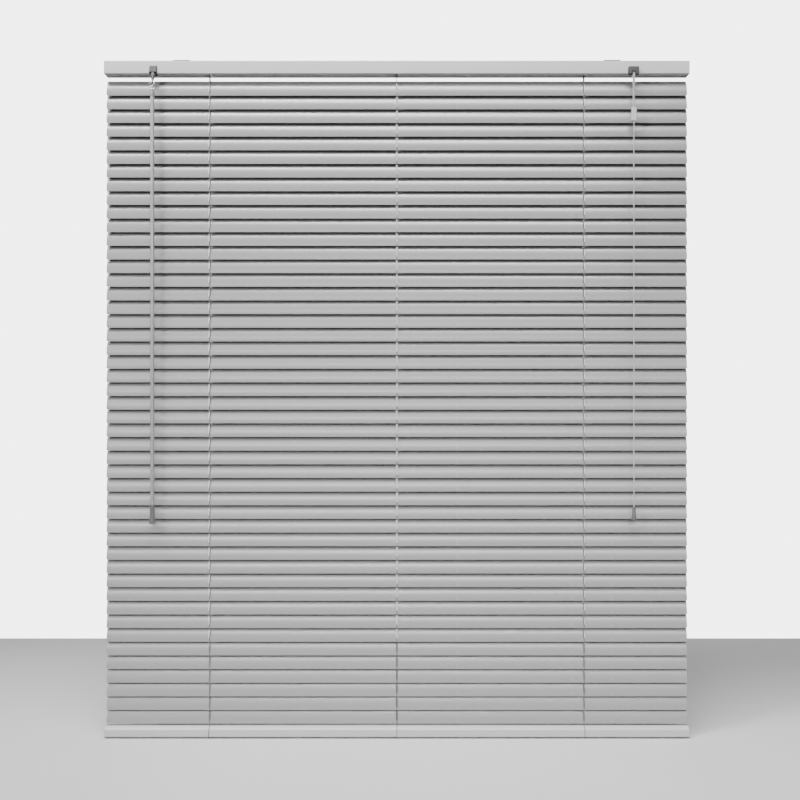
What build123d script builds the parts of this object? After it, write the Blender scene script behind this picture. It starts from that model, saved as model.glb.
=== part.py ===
from build123d import *
import os
from math import atan2, cos, degrees, pi, radians, sin

# Venetian blind with 47 curved 25 mm aluminium slats, hung from a slim steel headrail.
# Millimetres. X runs along the width, the room is towards -Y and +Z is up. The origin is
# the centre of the two mounting brackets' top faces, which screw to the head of a recess.
# At rest the slats are closed: front edge down, convex side towards the room.

# Driving dimensions
rail_length = 897.0  # headrail and bottom rail, over their end caps
slat_length = 893.0
slat_width = 25.0
slat_count = 47
slat_pitch = 21.0
closed_tilt = 72.0  # slats' angle from horizontal when closed
ladder_places = (-288.0, 0.0, 288.0)
tilter_x = -373.0
cord_lock_x = 362.0

# Slats
slat_crown = 2.0
slat_thickness = 0.22
slat_corner = 2.0
cord_slot_length = 16.0
cord_slot_width = 2.6

# Cords
ladder_half_width = 15.2
ladder_cord_radius = 0.5
lift_cord_radius = 0.6
lift_cord_bend = 3.6
pull_cord_radius = 0.8
bore_clearance = 0.1

# Mounting brackets
bracket_places = (-330.0, 330.0)
bracket_length = 26.0
bracket_thickness = 1.2
screw_spacing = 13.6
screw_hole_radius = 2.25
hook_length = 5.0
hook_offset = 9.5

# Headrail: a U channel of thin sheet with inward lips
headrail_depth = 25.0
headrail_height = 20.0
sheet = 0.5
lip_opening = 19.0
channel_corner = 1.2
cap_thickness = 1.0
cap_plug_depth = 7.0
cap_plug_wall = 1.2
cap_clearance = 0.2
cord_hole_length = 18.0
cord_hole_width = 9.0

# Tilt mechanism
rod_y = 1.5
rod_z = -11.0
rod_across_flats = 5.0
rod_clearance = 0.1
rod_start = tilter_x - 9.0
rod_end = ladder_places[-1] + 18.0
drum_offset = -8.0  # each drum stands beside its lift cord
drum_groove_radius = 6.4
drum_flange_radius = 7.9
drum_half_length = 4.0
drum_flange = 1.0
journal_radius = 4.2
journal_clearance = 0.07
journal_half_length = 6.4
cradle_wall = 1.5
cradle_half_width = 8.1
cradle_top = -5.2
cradle_gap = 0.4
cradle_base = 1.2
cradle_chamfer = 3.0

# Worm drive: a single-start worm turns a twelve-tooth wheel
worm_lean = 24.0  # the worm's stem leans out towards the room
wheel_teeth = 12
worm_module = 0.9
wheel_half_width = 1.5
wheel_tip_radius = 6.15
wheel_root_radius = 4.25
tooth_tip_width = 0.5
tooth_root_width = 1.2
hub_radius = 3.9
hub_half_length = 5.4
worm_core_radius = 2.0
worm_pitch_radius = 3.0
worm_tip_radius = 3.8
thread_tip_width = 0.6
thread_root_width = 1.3
thread_first_turn = -1.0
thread_turns = 2.5
stem_radius = 2.2
stem_clearance = 0.08

# Slats' places follow from the headrail
headrail_top = -bracket_thickness
headrail_bottom = headrail_top - headrail_height
headrail_middle = (headrail_top + headrail_bottom) / 2
first_slat_z = headrail_bottom - 19.65
last_slat_z = first_slat_z - (slat_count - 1) * slat_pitch

# Bottom rail
rail_height = 11.4
rail_top = last_slat_z - 19.75
rail_bottom = rail_top - rail_height
rail_wall = 0.6
rail_corner = 2.5
crown_rise = 7.1
crown_groove_width = 1.0  # between the crown and the walls
crown_groove_depth = 1.6
rail_cap_thickness = 1.2
plug_radius = 4.8
plug_neck_radius = 3.2
plug_flange = 1.0
plug_depth = 5.0

tilt_cos = cos(radians(closed_tilt))
tilt_sin = sin(radians(closed_tilt))
lean_cos = cos(radians(worm_lean))
lean_sin = sin(radians(worm_lean))

os.makedirs("parts", exist_ok=True)


def write(piece, name):
    piece.label = name
    export_step(piece, f"parts/{name}.step")


# Slats: a shallow arc in section, with a slot for the lift cord at each ladder.
def make_slat(axis_z):
    section_plane = Plane(
        origin=(-slat_length / 2, 0, axis_z),
        x_dir=(0, tilt_cos, tilt_sin),
        z_dir=(1, 0, 0),
    )
    chord_plane = Plane(
        origin=(0, 0, axis_z), x_dir=(1, 0, 0), z_dir=(0, -tilt_sin, tilt_cos)
    )
    edge = slat_width / 2
    with BuildPart() as slat:
        with BuildSketch(section_plane):
            with BuildLine():
                ThreePointArc((-edge, 0), (0, slat_crown), (edge, 0))
                Line((edge, 0), (edge, slat_thickness))
                ThreePointArc(
                    (edge, slat_thickness),
                    (0, slat_crown + slat_thickness),
                    (-edge, slat_thickness),
                )
                Line((-edge, slat_thickness), (-edge, 0))
            make_face()
        extrude(amount=slat_length)
        with BuildSketch(chord_plane):
            RectangleRounded(slat_length, slat_width + bore_clearance, slat_corner)
        extrude(amount=slat_width, both=True, mode=Mode.INTERSECT)
        with BuildSketch(chord_plane):
            with Locations(*[(x, 0) for x in ladder_places]):
                SlotOverall(cord_slot_length, cord_slot_width, rotation=90)
        extrude(amount=slat_width, both=True, mode=Mode.SUBTRACT)
    return slat.part


for index in range(slat_count):
    write(make_slat(first_slat_z - index * slat_pitch), f"slat_{index + 1:02d}")


# Ladders: a front and a back cord at each place, from the first slat's rung to the last.
# A closed slat holds the two cords at the ends of its tilted rung.
def make_ladder_cords(side):
    cord_y = side * ladder_half_width * tilt_cos
    rung_drop = side * ladder_half_width * tilt_sin
    with BuildPart() as cords:
        with BuildSketch(Plane.XY.offset(last_slat_z + rung_drop)):
            with Locations(*[(x, cord_y) for x in ladder_places]):
                Circle(ladder_cord_radius)
        extrude(amount=first_slat_z - last_slat_z)
    return cords.part


write(make_ladder_cords(-1), "ladder_front_cords")
write(make_ladder_cords(1), "ladder_back_cords")


# Lift cords: up from the bottom rail through the slats, along the back of the headrail,
# and out to the front through the cord lock.
pull_cord_y = -17.5
cord_exit_z = -24.0
cord_run_y = 10.8
cord_run_z = (-15.2, -16.6, -18.0)
cord_spacing = 1.3
plug_floor_z = rail_bottom + plug_flange

with BuildPart() as lift_cords:
    for strand, place in enumerate(ladder_places):
        run_z = cord_run_z[strand]
        exit_x = cord_lock_x + (strand - 1) * cord_spacing
        with BuildLine() as route:
            FilletPolyline(
                (place, 0, plug_floor_z),
                (place, 0, run_z),
                (place, cord_run_y, run_z),
                (exit_x, cord_run_y, run_z),
                (exit_x, pull_cord_y, run_z),
                (exit_x, pull_cord_y, cord_exit_z),
                radius=lift_cord_bend,
            )
        with BuildSketch(Plane.XY.offset(plug_floor_z)):
            with Locations((place, 0)):
                Circle(lift_cord_radius)
        sweep(path=route.line)
write(lift_cords.part, "lift_cords")
print("lift cord bend radius", lift_cord_bend)

# Pull cord: one straight free-hanging cord from the cord lock down into the tassel.
tassel_top = -684.8
tassel_height = 19.1
tassel_top_radius = 2.5
tassel_bottom_radius = 3.9
tassel_bore_depth = 5.0
tassel_wall = 0.9
tassel_chamfer = 0.6
tassel_waist = 0.45  # where the skirt begins, as a share of the height
pull_cord_end = tassel_top - tassel_bore_depth
pull_cord_plane = Plane(origin=(cord_lock_x, pull_cord_y, cord_exit_z), z_dir=(0, 0, -1))

with BuildPart() as pull_cord:
    with BuildSketch(pull_cord_plane):
        Circle(pull_cord_radius)
    extrude(amount=cord_exit_z - pull_cord_end)
write(pull_cord.part, "pull_cord")
print("pull cord length", cord_exit_z - pull_cord_end)

# Cord condenser and tassel, both threaded on the pull cord
condenser_top = -74.9
condenser_height = 19.8
condenser_width = 9.3
condenser_depth = 6.4
condenser_groove = 2.6
condenser_groove_depth = 0.9
condenser_corner = 1.5
condenser_waist = (0.78, 0.85)  # the middle's width and depth, against the ends'
tassel_plane = Plane(
    origin=(cord_lock_x, pull_cord_y, tassel_top), x_dir=(1, 0, 0), z_dir=(0, -1, 0)
)
condenser_plane = Plane(
    origin=(cord_lock_x, pull_cord_y, condenser_top), z_dir=(0, 0, -1)
)

with BuildPart() as condenser:
    with BuildSketch(condenser_plane):
        RectangleRounded(condenser_width, condenser_depth, condenser_corner)
    with BuildSketch(condenser_plane.offset(condenser_height * 0.5)):
        RectangleRounded(
            condenser_width * condenser_waist[0],
            condenser_depth * condenser_waist[1],
            condenser_corner,
        )
    with BuildSketch(condenser_plane.offset(condenser_height)):
        RectangleRounded(condenser_width, condenser_depth, condenser_corner)
    loft(ruled=True)
    with BuildSketch(condenser_plane):
        Circle(pull_cord_radius + bore_clearance)
        for side in (-1, 1):
            with Locations((0, side * condenser_depth / 2)):
                Rectangle(condenser_groove, 2 * condenser_groove_depth)
    extrude(amount=condenser_height, mode=Mode.SUBTRACT)

with BuildPart() as tassel:
    with BuildSketch(tassel_plane):
        with BuildLine():
            Polyline(
                (0, 0),
                (tassel_top_radius - tassel_chamfer, 0),
                (tassel_top_radius, -tassel_chamfer),
                (tassel_top_radius + 0.3, -tassel_height * tassel_waist),
                (tassel_bottom_radius, -tassel_height),
                (tassel_bottom_radius - tassel_wall, -tassel_height),
                (tassel_top_radius - tassel_wall, -tassel_height * 0.5),
                (0, -tassel_height * 0.5),
                close=True,
            )
        make_face()
    revolve(axis=Axis(tassel_plane.origin, (0, 0, 1)))
    with BuildSketch(Plane(origin=tassel_plane.origin, z_dir=(0, 0, -1))):
        Circle(pull_cord_radius + bore_clearance)
    extrude(amount=tassel_bore_depth, mode=Mode.SUBTRACT)

with BuildPart() as pull_cord_fittings:
    add(condenser.part)
    add(tassel.part)
write(pull_cord_fittings.part, "pull_cord_fittings")

# Headrail, cut out for the ladders, for the tilter's nose and for the cord lock's nose
channel_length = rail_length - 2 * cap_thickness
tilter_half_width = 5.6
tilter_nose_top = -9.6
lock_half_width = 7.6
lock_nose_top = -11.6
nose_gap = 0.3
tilter_cut_back = -4.6
lock_cut_back = -10.0

with BuildPart() as headrail:
    with BuildSketch(Plane.YZ.offset(-channel_length / 2)):
        with Locations((0, headrail_middle)):
            RectangleRounded(headrail_depth, headrail_height, channel_corner)
            RectangleRounded(
                headrail_depth - 2 * sheet,
                headrail_height - 2 * sheet,
                channel_corner - sheet,
                mode=Mode.SUBTRACT,
            )
        with Locations((0, headrail_top)):
            Rectangle(lip_opening, 4 * sheet, mode=Mode.SUBTRACT)
    extrude(amount=channel_length)
    with BuildSketch(Plane.XY.offset(headrail_bottom - sheet)):
        with Locations(*[(x, 0) for x in ladder_places]):
            SlotOverall(cord_hole_length, cord_hole_width, rotation=90)
    extrude(amount=3 * sheet, mode=Mode.SUBTRACT)
    for place, half_width, cut_top, cut_back in (
        (tilter_x, tilter_half_width, tilter_nose_top, tilter_cut_back),
        (cord_lock_x, lock_half_width, lock_nose_top, lock_cut_back),
    ):
        with BuildSketch(Plane.XY.offset(headrail_bottom - sheet)):
            with Locations((place, -headrail_depth / 2 - sheet)):
                Rectangle(
                    2 * (half_width + nose_gap),
                    cut_back + headrail_depth / 2 + sheet,
                    align=(Align.CENTER, Align.MIN),
                )
        extrude(
            amount=cut_top + nose_gap - headrail_bottom + sheet, mode=Mode.SUBTRACT
        )
write(headrail.part, "headrail")

# Mounting brackets: a screwed plate whose hooks go under the headrail's lips
hook_stem_y = 8.6
hook_reach_y = 11.2
hook_thickness = 1.0
hook_drop = sheet + bore_clearance

with BuildPart() as mounting_brackets:
    with BuildSketch(Plane.XY.offset(-bracket_thickness)):
        with Locations(*[(x, 0) for x in bracket_places]):
            RectangleRounded(bracket_length, headrail_depth, 2.0)
        with Locations(*[(x, 0) for x in bracket_places]):
            with GridLocations(0, screw_spacing, 1, 2):
                Circle(screw_hole_radius, mode=Mode.SUBTRACT)
    extrude(amount=bracket_thickness)
    for place in bracket_places:
        for hook_x in (place - hook_offset, place + hook_offset):
            with BuildSketch(Plane.YZ.offset(hook_x - hook_length / 2)):
                with BuildLine():
                    Polyline(
                        (hook_stem_y - hook_thickness, headrail_top),
                        (hook_stem_y, headrail_top),
                        (hook_stem_y, headrail_top - hook_drop),
                        (hook_reach_y, headrail_top - hook_drop),
                        (hook_reach_y, headrail_top - hook_drop - hook_thickness),
                        (
                            hook_stem_y - hook_thickness,
                            headrail_top - hook_drop - hook_thickness,
                        ),
                        close=True,
                    )
                make_face()
                mirror(about=Plane.YZ)
            extrude(amount=hook_length)
write(mounting_brackets.part, "mounting_brackets")

# Tilt rod: a hexagonal rod with three ladder drums and the worm wheel on it
rod_point = (0, rod_y, rod_z)
worm_centre_distance = worm_module * wheel_teeth / 2 + worm_pitch_radius
worm_foot = (
    tilter_x,
    rod_y - worm_centre_distance * lean_cos,
    rod_z + worm_centre_distance * lean_sin,
)


def rod_plane(x):
    return Plane(origin=(x, rod_y, rod_z), x_dir=(0, 1, 0), z_dir=(1, 0, 0))


with BuildPart() as tilt_rod:
    with BuildSketch(rod_plane(rod_start)):
        RegularPolygon(rod_across_flats / 2, 6, major_radius=False)
    extrude(amount=rod_end - rod_start)


def make_rod_section(x):
    with BuildSketch(rod_plane(x)) as section:
        RegularPolygon(rod_across_flats / 2 + rod_clearance, 6, major_radius=False)
    return section.sketch


def make_drum(x):
    with BuildPart() as drum:
        for radius, half_length in (
            (journal_radius, journal_half_length),
            (drum_flange_radius, drum_half_length),
        ):
            with BuildSketch(rod_plane(x - half_length)):
                Circle(radius)
            extrude(amount=2 * half_length)
        groove_half = drum_half_length - drum_flange
        with BuildSketch(rod_plane(x - groove_half)):
            Circle(drum_flange_radius)
            Circle(drum_groove_radius, mode=Mode.SUBTRACT)
        extrude(amount=2 * groove_half, mode=Mode.SUBTRACT)
        bore = make_rod_section(x - journal_half_length)
        extrude(bore, amount=2 * journal_half_length, mode=Mode.SUBTRACT)
    return drum.part


# At rest a tooth of the wheel stands between two turns of the worm's thread.
tooth_foot = wheel_root_radius - 0.5
tooth_height = wheel_tip_radius - tooth_foot
tooth_radius = (wheel_tip_radius + tooth_foot) / 2
tooth_flank = degrees(atan2(2 * tooth_height, tooth_root_width - tooth_tip_width))

with BuildPart() as worm_wheel:
    with BuildSketch(rod_plane(tilter_x - wheel_half_width)):
        Circle(wheel_root_radius)
        with PolarLocations(tooth_radius, wheel_teeth, start_angle=180 - worm_lean):
            Trapezoid(tooth_root_width, tooth_height, tooth_flank, rotation=-90)
    extrude(amount=2 * wheel_half_width)
    with BuildSketch(rod_plane(tilter_x - hub_half_length)):
        Circle(hub_radius)
    extrude(amount=2 * hub_half_length)
    bore = make_rod_section(tilter_x - hub_half_length)
    extrude(bore, amount=2 * hub_half_length, mode=Mode.SUBTRACT)

with BuildPart() as tilt_rod_and_drums:
    add(tilt_rod.part)
    add(worm_wheel.part)
    for place in ladder_places:
        add(make_drum(place + drum_offset))
write(tilt_rod_and_drums.part, "tilt_rod_and_drums")

# Worm and stem: the worm meshes with the wheel, and its stem comes out of the tilter's
# nose as a funnel that ends in an eye for the wand's hook.
worm_pitch = pi * worm_module
stem_direction = (0, -lean_sin, -lean_cos)
worm_plane = Plane(origin=worm_foot, x_dir=(1, 0, 0), z_dir=stem_direction)
stem_profile_plane = Plane(
    origin=worm_foot, x_dir=(1, 0, 0), z_dir=(0, lean_cos, -lean_sin)
)
worm_start = -5.2
upper_journal_radius = 1.5
upper_journal_end = -3.7
thread_end = 5.0
nose_end = 15.5
funnel_start = nose_end + 0.5
funnel_radius = 4.0
funnel_end = 28.0
funnel_end_radius = 1.4
eye_centre = 31.5
eye_radius = 2.8
eye_hole_radius = 1.7
eye_half_thickness = 0.6
thread_embed = 0.2

with BuildPart() as tilt_worm:
    with BuildLine() as thread_path:
        Helix(
            worm_pitch,
            thread_turns * worm_pitch,
            worm_pitch_radius,
            center=worm_plane.from_local_coords((0, 0, thread_first_turn * worm_pitch)),
            direction=stem_direction,
        )
    thread_start = thread_path.line @ 0
    thread_radial = worm_plane.y_dir
    with BuildSketch(
        Plane(origin=thread_start, x_dir=thread_radial, z_dir=thread_path.line % 0)
    ):
        with BuildLine():
            Polyline(
                (
                    worm_core_radius - thread_embed - worm_pitch_radius,
                    -thread_root_width / 2,
                ),
                (worm_tip_radius - worm_pitch_radius, -thread_tip_width / 2),
                (worm_tip_radius - worm_pitch_radius, thread_tip_width / 2),
                (
                    worm_core_radius - thread_embed - worm_pitch_radius,
                    thread_root_width / 2,
                ),
                close=True,
            )
        make_face()
    sweep(path=thread_path.line, is_frenet=True)
    with BuildSketch(stem_profile_plane):
        with BuildLine():
            Polyline(
                (0, worm_start),
                (upper_journal_radius, worm_start),
                (upper_journal_radius, upper_journal_end),
                (worm_core_radius, upper_journal_end),
                (worm_core_radius, thread_end),
                (stem_radius, thread_end),
                (stem_radius, funnel_start),
                (funnel_radius, funnel_start),
                (funnel_radius, funnel_start + 2.0),
                (funnel_end_radius, funnel_end),
                (0, funnel_end),
                close=True,
            )
        make_face()
    revolve(axis=Axis(worm_foot, stem_direction))
    eye_point = stem_profile_plane.from_local_coords((0, eye_centre, 0))
    with BuildSketch(
        Plane(
            origin=eye_point - Vector(eye_half_thickness, 0, 0),
            x_dir=stem_direction,
            z_dir=(1, 0, 0),
        )
    ):
        Circle(eye_radius)
        with Locations((0, 0)):
            Rectangle(
                eye_centre - funnel_end + 1.5,
                2 * funnel_end_radius,
                align=(Align.MAX, Align.CENTER),
            )
        Circle(eye_hole_radius, mode=Mode.SUBTRACT)
    extrude(amount=2 * eye_half_thickness)
write(tilt_worm.part, "tilt_worm")
print("hook pivot", eye_point)

# Wand hook: an S of wire, between the stem's eye and the wand's eye
wand_y = eye_point.Y
hook_top = eye_point.Z
hook_bottom = -46.4
hook_half_width = 3.0
hook_wire_radius = 0.75
hook_bend = 2.6
hook_tip = 3.0
hook_slant = 1.2
hook_cross_bend = 1.2
hook_middle = (hook_top + hook_bottom) / 2

with BuildPart() as wand_hook:
    with BuildLine() as hook_path:
        FilletPolyline(
            (tilter_x - hook_half_width, wand_y, hook_top - hook_tip),
            (tilter_x - hook_half_width, wand_y, hook_top),
            (tilter_x + hook_half_width, wand_y, hook_top),
            (tilter_x + hook_half_width, wand_y, hook_middle + hook_slant),
            (tilter_x - hook_half_width, wand_y, hook_middle - hook_slant),
            (tilter_x - hook_half_width, wand_y, hook_bottom),
            (tilter_x + hook_half_width, wand_y, hook_bottom),
            (tilter_x + hook_half_width, wand_y, hook_bottom + hook_tip),
            radius=(
                hook_bend,
                hook_bend,
                hook_cross_bend,
                hook_cross_bend,
                hook_bend,
                hook_bend,
            ),
        )
    with BuildSketch(
        Plane(origin=hook_path.line @ 0, z_dir=hook_path.line % 0)
    ):
        Circle(hook_wire_radius)
    sweep(path=hook_path.line)
write(wand_hook.part, "wand_hook")

# Wand: a hexagonal rod hung by its eye, with a ferrule and a grip
wand_rod_bottom = -698.0
wand_across_flats = 5.4
ferrule_radius = 3.4
ferrule_length = 7.0
grip_top = -680.6
grip_bottom = -710.5
grip_radius = 3.85
grip_flare_radius = 4.5
grip_flare_height = 12.0
grip_chamfer = 0.7
wand_eye_gap = 4.4  # from the eye's centre to the rod
wand_rod_top = hook_bottom - wand_eye_gap
wand_point = (tilter_x, wand_y, 0)
wand_profile_plane = Plane(origin=wand_point, x_dir=(1, 0, 0), z_dir=(0, -1, 0))


def wand_plane(z):
    return Plane(origin=(tilter_x, wand_y, z))


with BuildPart() as wand_rod:
    with BuildSketch(wand_plane(wand_rod_bottom)):
        RegularPolygon(wand_across_flats / 2, 6, major_radius=False)
    extrude(amount=wand_rod_top - wand_rod_bottom)
    with BuildSketch(
        Plane(
            origin=(tilter_x - eye_half_thickness, wand_y, hook_bottom),
            x_dir=(0, 0, -1),
            z_dir=(1, 0, 0),
        )
    ):
        Circle(eye_radius)
        Rectangle(
            hook_bottom - wand_rod_top + 1.0,
            2 * funnel_end_radius,
            align=(Align.MIN, Align.CENTER),
        )
        Circle(eye_hole_radius, mode=Mode.SUBTRACT)
    extrude(amount=2 * eye_half_thickness)

with BuildPart() as wand_ferrule:
    with BuildSketch(wand_plane(wand_rod_top - ferrule_length)):
        Circle(ferrule_radius)
        RegularPolygon(
            wand_across_flats / 2 + rod_clearance,
            6,
            major_radius=False,
            mode=Mode.SUBTRACT,
        )
    extrude(amount=ferrule_length)

with BuildPart() as wand_grip:
    with BuildSketch(wand_profile_plane):
        with BuildLine():
            Polyline(
                (0, grip_top),
                (grip_radius - grip_chamfer, grip_top),
                (grip_radius, grip_top - grip_chamfer),
                (grip_radius, grip_bottom + grip_flare_height),
                (grip_flare_radius, grip_bottom + grip_flare_height * 0.6),
                (grip_flare_radius, grip_bottom + grip_chamfer),
                (grip_flare_radius - grip_chamfer, grip_bottom),
                (0, grip_bottom),
                close=True,
            )
        make_face()
    revolve(axis=Axis(wand_point, (0, 0, 1)))
    with BuildSketch(wand_plane(wand_rod_bottom - bore_clearance)):
        RegularPolygon(wand_across_flats / 2 + rod_clearance, 6, major_radius=False)
    extrude(amount=grip_top - grip_bottom, mode=Mode.SUBTRACT)

with BuildPart() as wand:
    add(wand_rod.part)
    add(wand_ferrule.part)
    add(wand_grip.part)
write(wand.part, "wand")

# Headrail fittings: end caps, drum cradles, the tilter's housing and the cord lock
floor_z = headrail_bottom + sheet + bore_clearance
cap_inner_height = headrail_height - 2 * sheet - 2 * cap_clearance
cap_inner_depth = headrail_depth - 2 * sheet - 2 * cap_clearance


def make_headrail_cap(side):
    outer = Plane(
        origin=(side * rail_length / 2, 0, headrail_middle),
        x_dir=(0, 1, 0),
        z_dir=(-side, 0, 0),
    )
    with BuildPart() as cap:
        with BuildSketch(outer):
            RectangleRounded(headrail_depth, headrail_height, channel_corner)
        extrude(amount=cap_thickness - bore_clearance)
        with BuildSketch(outer.offset(cap_thickness - bore_clearance)):
            RectangleRounded(cap_inner_depth, cap_inner_height, channel_corner)
            RectangleRounded(
                cap_inner_depth - 2 * cap_plug_wall,
                cap_inner_height - 2 * cap_plug_wall,
                channel_corner / 2,
                mode=Mode.SUBTRACT,
            )
        extrude(amount=cap_plug_depth)
    return cap.part


def make_cradle(x):
    wall_inner = drum_half_length + cradle_gap
    with BuildPart() as cradle:
        with BuildSketch(rod_plane(x - wall_inner - cradle_wall)):
            with BuildLine():
                Polyline(
                    (-cradle_half_width, floor_z - rod_z),
                    (cradle_half_width, floor_z - rod_z),
                    (cradle_half_width, cradle_top - rod_z - cradle_chamfer),
                    (cradle_half_width - cradle_chamfer, cradle_top - rod_z),
                    (cradle_chamfer - cradle_half_width, cradle_top - rod_z),
                    (-cradle_half_width, cradle_top - rod_z - cradle_chamfer),
                    close=True,
                )
            make_face()
            Circle(journal_radius + journal_clearance, mode=Mode.SUBTRACT)
        extrude(amount=2 * (wall_inner + cradle_wall))
        with BuildSketch(rod_plane(x - wall_inner)):
            with Locations((0, floor_z - rod_z + cradle_base)):
                Rectangle(
                    3 * cradle_half_width,
                    2 * headrail_height,
                    align=(Align.CENTER, Align.MIN),
                )
        extrude(amount=2 * wall_inner, mode=Mode.SUBTRACT)
    return cradle.part


housing_front = -11.8  # inside face of the headrail's front wall, less a clearance
tilter_top = -1.3
tilter_half_depth = 9.0
tilter_shoulder = -7.4
tilter_nose_front = -13.4
tilter_nose_rear_width = 5.2
tilter_nose_front_width = 5.0
wheel_tip_clearance = 0.6

with BuildPart() as tilter_housing:
    nose_rear = worm_plane.from_local_coords((0, -tilter_nose_rear_width, nose_end))
    nose_front = worm_plane.from_local_coords((0, tilter_nose_front_width, nose_end))
    with BuildSketch(Plane.YZ.offset(tilter_x - tilter_half_width)):
        with BuildLine():
            Polyline(
                (tilter_half_depth, tilter_top),
                (-tilter_half_depth, tilter_top),
                (housing_front, tilter_shoulder),
                (housing_front, tilter_nose_top),
                (tilter_nose_front, tilter_nose_top),
                (nose_front.Y, nose_front.Z),
                (nose_rear.Y, nose_rear.Z),
                (tilter_cut_back - nose_gap, floor_z),
                (tilter_half_depth, floor_z),
                close=True,
            )
        make_face()
        with Locations((rod_y, rod_z)):
            Circle(hub_radius + journal_clearance, mode=Mode.SUBTRACT)
    extrude(amount=2 * tilter_half_width)
    with BuildSketch(rod_plane(tilter_x - wheel_half_width - cradle_gap)):
        Circle(wheel_tip_radius + wheel_tip_clearance)
    extrude(amount=2 * (wheel_half_width + cradle_gap), mode=Mode.SUBTRACT)
    for radius, start, end in (
        (upper_journal_radius + stem_clearance, worm_start - 0.2, 0),
        (worm_tip_radius + cradle_gap, upper_journal_end - 0.1, thread_end + 0.2),
        (stem_radius + stem_clearance, 0, nose_end + 1.0),
    ):
        with BuildSketch(worm_plane.offset(start)):
            Circle(radius)
        extrude(amount=end - start, mode=Mode.SUBTRACT)

lock_nose_front = -19.4
lock_nose_bottom = cord_exit_z + 0.4
lock_wall = 1.6
lock_inner_half = lock_half_width - lock_wall
lock_channel_top = -13.2
lock_back = 8.0
lock_top = -4.2
roller_y = -4.5
roller_z = -10.2
roller_radius = 2.2
roller_axle_radius = 0.9
roller_slot_length = 5.0
roller_slot_width = 2.4
roller_slot_tilt = 35
roller_well_length = 7.4
roller_well_height = 7.0
lock_front_wall = 1.1
lock_lip_back = -13.0
lock_lip_wall = 1.2
lock_mouth_height = 9.0
lock_mouth_width = 6.0

with BuildPart() as cord_lock:
    with BuildSketch(Plane.YZ.offset(cord_lock_x - lock_half_width)):
        with BuildLine():
            Polyline(
                (lock_back, lock_top),
                (housing_front, lock_top),
                (housing_front, lock_nose_top),
                (lock_nose_front + lock_front_wall, lock_nose_top),
                (lock_nose_front, lock_nose_top - lock_front_wall),
                (lock_nose_front, lock_nose_bottom),
                (lock_lip_back, lock_nose_bottom),
                (housing_front, floor_z),
                (lock_back, floor_z),
                close=True,
            )
        make_face()
        with Locations((roller_y, roller_z)):
            SlotOverall(
                roller_slot_length,
                roller_slot_width,
                rotation=roller_slot_tilt,
                mode=Mode.SUBTRACT,
            )
    extrude(amount=2 * lock_half_width)
    with BuildSketch(Plane.YZ.offset(cord_lock_x - lock_inner_half)):
        with BuildLine():
            Polyline(
                (lock_back + 1.0, lock_channel_top),
                (lock_nose_front + lock_front_wall, lock_channel_top),
                (lock_nose_front + lock_front_wall, lock_nose_bottom - 1.0),
                (lock_lip_back - lock_lip_wall, lock_nose_bottom - 1.0),
                (lock_lip_back, floor_z + lock_lip_wall),
                (lock_back + 1.0, floor_z + lock_lip_wall),
                close=True,
            )
        make_face()
        with Locations((roller_y, lock_channel_top - 0.5)):
            Rectangle(
                roller_well_length,
                roller_well_height,
                align=(Align.CENTER, Align.MIN),
            )
    extrude(amount=2 * lock_inner_half, mode=Mode.SUBTRACT)
    with BuildSketch(Plane.XZ.offset(-lock_nose_front - 2.0)):
        with Locations((cord_lock_x, lock_nose_bottom)):
            SlotOverall(lock_mouth_height, lock_mouth_width, rotation=90)
    extrude(amount=3.0, mode=Mode.SUBTRACT)

with BuildPart() as lock_roller:
    for radius, half_length in (
        (roller_axle_radius, lock_half_width - 0.3),
        (roller_radius, lock_inner_half - 0.2),
    ):
        with BuildSketch(
            Plane(
                origin=(cord_lock_x - half_length, roller_y, roller_z), z_dir=(1, 0, 0)
            )
        ):
            Circle(radius)
        extrude(amount=2 * half_length)

with BuildPart() as headrail_fittings:
    for side in (-1, 1):
        add(make_headrail_cap(side))
    for place in ladder_places:
        add(make_cradle(place + drum_offset))
    add(tilter_housing.part)
    add(cord_lock.part)
    add(lock_roller.part)
write(headrail_fittings.part, "headrail_fittings")

# Bottom rail: a crowned hollow rail, with end caps and a plug under each lift cord
rail_body_length = rail_length - 2 * rail_cap_thickness
rail_edge = headrail_depth / 2
wall_inside = rail_edge - rail_wall
crown_half = wall_inside - crown_groove_width
crown_low = rail_top - crown_groove_depth
crown_high = crown_low + crown_rise
cavity_top = crown_low - rail_wall
cavity_crown_half = crown_half - rail_wall
cord_bore_radius = lift_cord_radius + 0.4


def make_rail_outline(x):
    with BuildSketch(Plane.YZ.offset(x)) as outline:
        with BuildLine():
            FilletPolyline(
                (-rail_edge, rail_top),
                (-rail_edge, rail_bottom),
                (rail_edge, rail_bottom),
                (rail_edge, rail_top),
                radius=rail_corner,
            )
            Polyline(
                (rail_edge, rail_top),
                (wall_inside, rail_top),
                (wall_inside, crown_low),
                (crown_half, crown_low),
            )
            ThreePointArc((crown_half, crown_low), (0, crown_high), (-crown_half, crown_low))
            Polyline(
                (-crown_half, crown_low),
                (-wall_inside, crown_low),
                (-wall_inside, rail_top),
                (-rail_edge, rail_top),
            )
        make_face()
    return outline.sketch


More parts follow.
